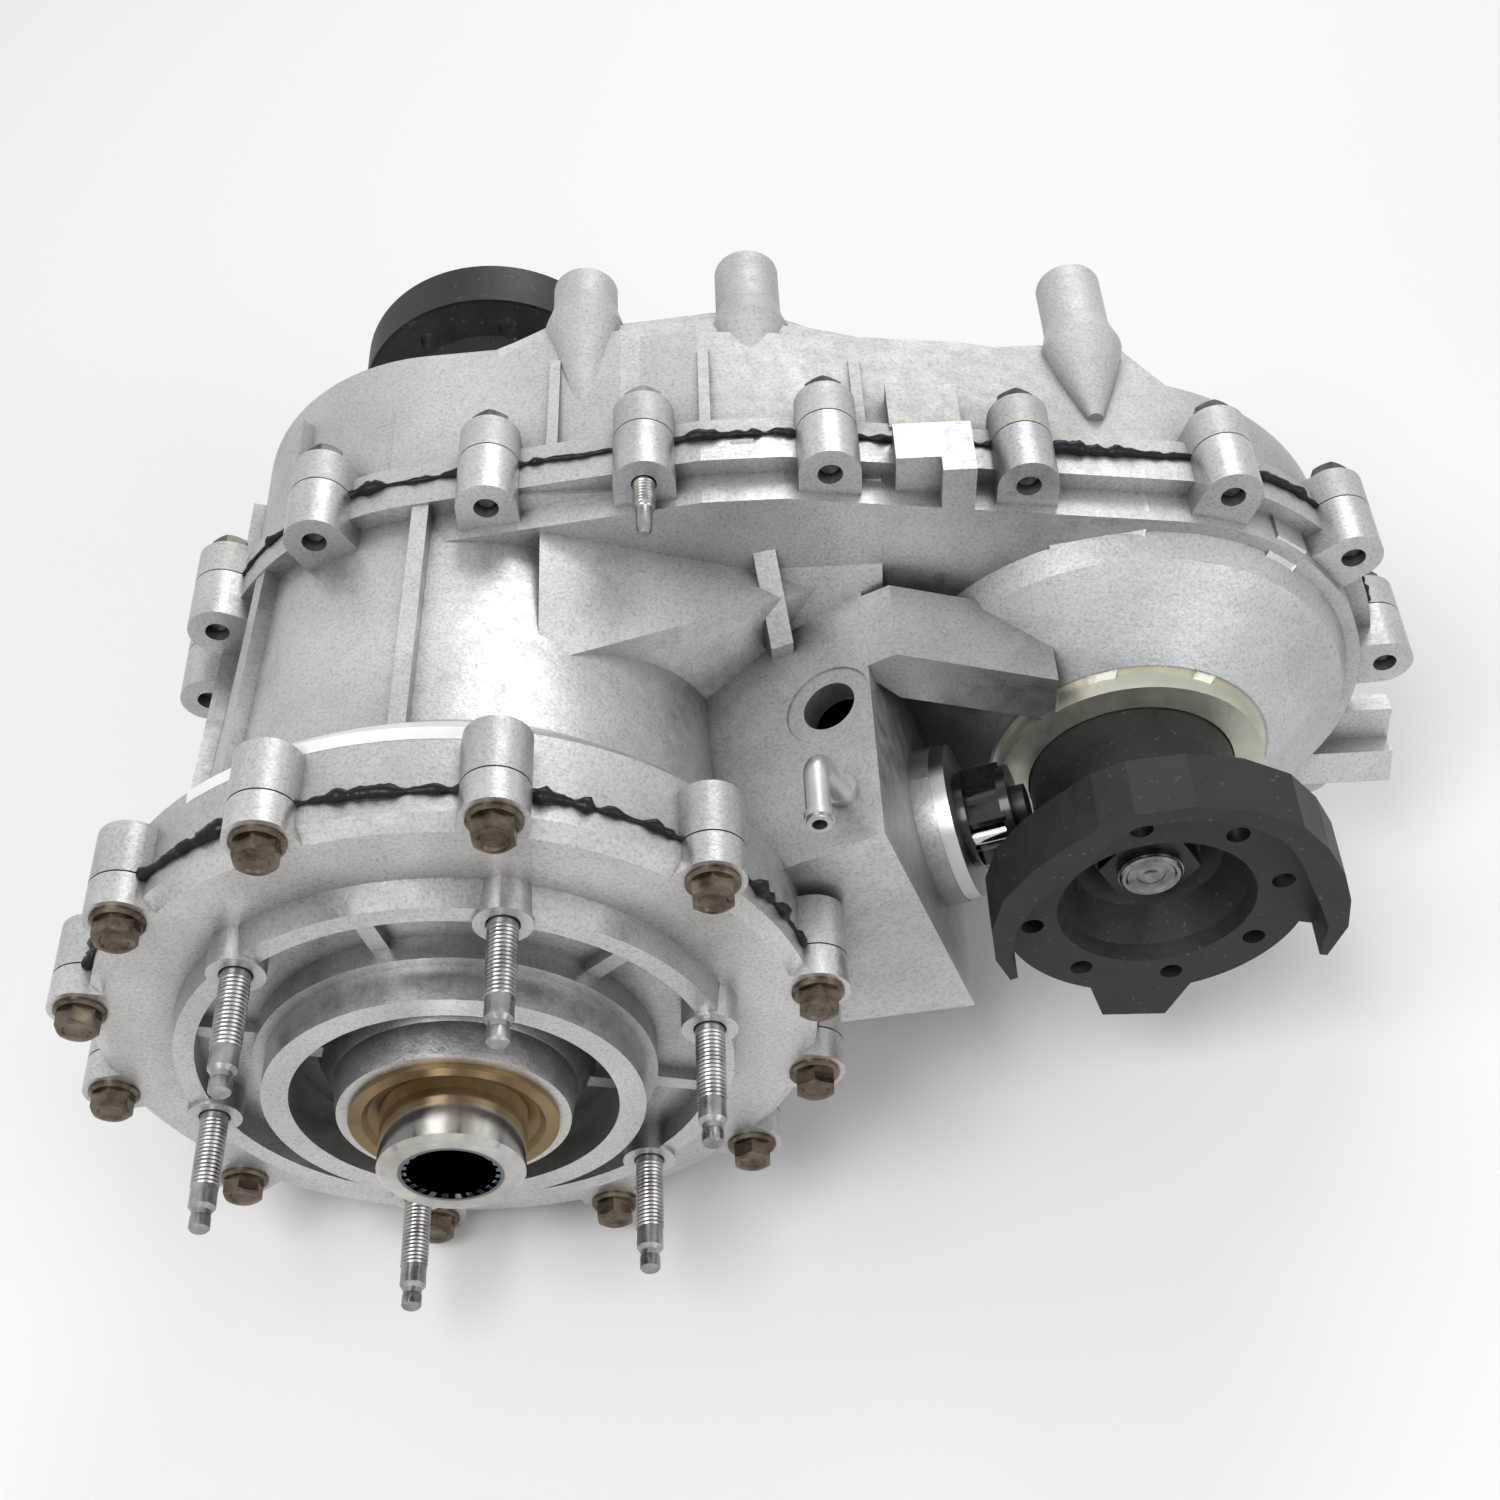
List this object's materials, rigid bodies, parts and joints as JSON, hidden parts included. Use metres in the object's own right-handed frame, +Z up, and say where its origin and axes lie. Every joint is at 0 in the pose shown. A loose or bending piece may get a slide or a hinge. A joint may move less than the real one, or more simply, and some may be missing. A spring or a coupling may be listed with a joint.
{
  "type": "transfer case",
  "caption": "Two-speed chain-drive transfer case in a ribbed aluminium housing, with splined input, planetary range set, and offset front and rear output flanges.",
  "frame": {"origin": "on the input axis, in the plane of the six stud bosses that meet the transmission adapter", "axes": "+Y rearwards along the input axis, +X towards the front output, +Z up"},
  "size_m": [0.4993, 0.41, 0.2664],
  "materials": {
    "front_case_aluminium": "shot-blasted die casting",
    "rear_case_aluminium": "matte die casting",
    "retainer_aluminium": "shot-blasted die casting",
    "black_sealant": "glossy silicone",
    "bronze_zinc_bolts": "yellow-brown zinc",
    "dark_bolts": "dark zinc",
    "grey_zinc_stud": "grey zinc",
    "hidden_steel": "ground",
    "bearing_steel": "ground",
    "seal_brown": "brown coated case",
    "seal_rubber": "matte",
    "gear_steel": "shot-peened",
    "shaft_steel": "turned",
    "polished_hub": "ground and polished",
    "dark_flange": "black phosphate",
    "dark_nut": "black phosphate",
    "fork_aluminium": "as cast",
    "vent_metal": "satin zinc",
    "black_plastic": "gloss",
    "black_rubber": "satin",
    "bright_screw": "bright",
    "disc_aluminium": "turned"
  },
  "bodies": {
    "case": {"front_case": "front_case_aluminium", "rear_case": "rear_case_aluminium", "input_retainer": "retainer_aluminium", "case_sealant": "black_sealant", "retainer_sealant": "black_sealant", "retainer_bolts": "bronze_zinc_bolts", "case_bolts": "dark_bolts", "case_stud": "grey_zinc_stud", "transmission_studs": "grey_zinc_stud", "dowel_pins": "hidden_steel", "fill_drain_plugs": "dark_bolts", "input_bearing": "bearing_steel", "input_snap_ring": "hidden_steel", "input_seal": "seal_brown", "annulus_gear": "gear_steel", "shift_rail": "hidden_steel", "oil_pump": "retainer_aluminium", "pickup_tube": "hidden_steel", "pickup_screen": "black_plastic", "chain": "gear_steel", "output_front_bearing": "bearing_steel", "output_rear_bearing": "bearing_steel", "rear_bearing": "bearing_steel", "front_output_seal": "seal_rubber", "rear_output_seal": "seal_rubber", "vent_elbow": "vent_metal", "range_switch": "black_plastic", "switch_screws": "bright_screw", "switch_cap": "black_rubber", "switch_disc": "disc_aluminium"},
    "mainshaft": {"mainshaft": "shaft_steel", "rear_output_flange": "dark_flange", "rear_flange_nut": "dark_nut"},
    "input": {"input_gear": "polished_hub"},
    "carrier": {"planet_carrier": "gear_steel", "planet_pins": "hidden_steel"},
    "planet_1": {"planet_gear_1": "gear_steel"},
    "planet_2": {"planet_gear_2": "gear_steel"},
    "planet_3": {"planet_gear_3": "gear_steel"},
    "planet_4": {"planet_gear_4": "gear_steel"},
    "front_output": {"front_output_shaft": "shaft_steel", "driven_sprocket": "gear_steel", "front_output_flange": "dark_flange", "front_flange_nut": "dark_nut"},
    "drive_sprocket": {"drive_sprocket": "gear_steel"},
    "sector": {"shift_sector": "hidden_steel"},
    "range_fork": {"range_fork": "fork_aluminium"},
    "range_sleeve": {"range_sleeve": "gear_steel"},
    "mode_fork": {"mode_fork": "fork_aluminium"},
    "mode_sleeve": {"mode_sleeve": "gear_steel"}
  },
  "joints": [
    {"name": "mainshaft_spin", "type": "hinge", "parent": "case", "child": "mainshaft", "pos_m": [0, 0.2, 0], "axis": [0, 1, 0], "continuous": true, "deforming": ["chain"]},
    {"name": "input_spin", "type": "hinge", "parent": "case", "child": "input", "pos_m": [0, 0, 0], "axis": [0, 1, 0], "continuous": true},
    {"name": "carrier_spin", "type": "hinge", "parent": "case", "child": "carrier", "pos_m": [0, 0.045, 0], "axis": [0, 1, 0], "continuous": true},
    {"name": "planet_1_spin", "type": "hinge", "parent": "carrier", "child": "planet_1", "pos_m": [0.04031, 0.045, 0.04031], "axis": [0, 1, 0], "continuous": true},
    {"name": "planet_2_spin", "type": "hinge", "parent": "carrier", "child": "planet_2", "pos_m": [-0.04031, 0.045, 0.04031], "axis": [0, 1, 0], "continuous": true},
    {"name": "planet_3_spin", "type": "hinge", "parent": "carrier", "child": "planet_3", "pos_m": [-0.04031, 0.045, -0.04031], "axis": [0, 1, 0], "continuous": true},
    {"name": "planet_4_spin", "type": "hinge", "parent": "carrier", "child": "planet_4", "pos_m": [0.04031, 0.045, -0.04031], "axis": [0, 1, 0], "continuous": true},
    {"name": "drive_sprocket_spin", "type": "hinge", "parent": "case", "child": "drive_sprocket", "pos_m": [0, 0.183, 0], "axis": [0, 1, 0], "continuous": true},
    {"name": "front_output_spin", "type": "hinge", "parent": "case", "child": "front_output", "pos_m": [0.248, 0.15, -0.008], "axis": [0, 1, 0], "continuous": true},
    {"name": "range_fork_slide", "type": "slide", "parent": "case", "child": "range_fork", "axis": [0, 1, 0], "range_m": [0, 0.015]},
    {"name": "range_select", "type": "hinge", "parent": "case", "child": "sector", "pos_m": [0.1827, 0.1013, -0.00404], "axis": [-0.9494, 0, -0.314], "range_deg": [0, 29.99]},
    {"name": "range_sleeve_slide", "type": "slide", "parent": "mainshaft", "child": "range_sleeve", "axis": [0, 1, 0], "range_m": [0, 0.015]},
    {"name": "mode_fork_slide", "type": "slide", "parent": "case", "child": "mode_fork", "axis": [0, -1, 0], "range_m": [0, 0.012]},
    {"name": "mode_sleeve_slide", "type": "slide", "parent": "mainshaft", "child": "mode_sleeve", "axis": [0, -1, 0], "range_m": [0, 0.012]}
  ],
  "couplings": [
    {"joint": "input_spin", "follows": "mainshaft_spin", "ratio": 1},
    {"joint": "carrier_spin", "follows": "mainshaft_spin", "ratio": 0.36842},
    {"joint": "planet_1_spin", "follows": "mainshaft_spin", "ratio": -1.7684},
    {"joint": "planet_2_spin", "follows": "mainshaft_spin", "ratio": -1.7684},
    {"joint": "planet_3_spin", "follows": "mainshaft_spin", "ratio": -1.7684},
    {"joint": "planet_4_spin", "follows": "mainshaft_spin", "ratio": -1.7684},
    {"joint": "drive_sprocket_spin", "follows": "mainshaft_spin", "ratio": 1},
    {"joint": "front_output_spin", "follows": "mainshaft_spin", "ratio": 1},
    {"joint": "range_select", "follows": "range_fork_slide", "rad_per_m": 34.895},
    {"joint": "range_sleeve_slide", "follows": "range_fork_slide", "ratio": 1},
    {"joint": "mode_sleeve_slide", "follows": "mode_fork_slide", "ratio": 1}
  ]
}
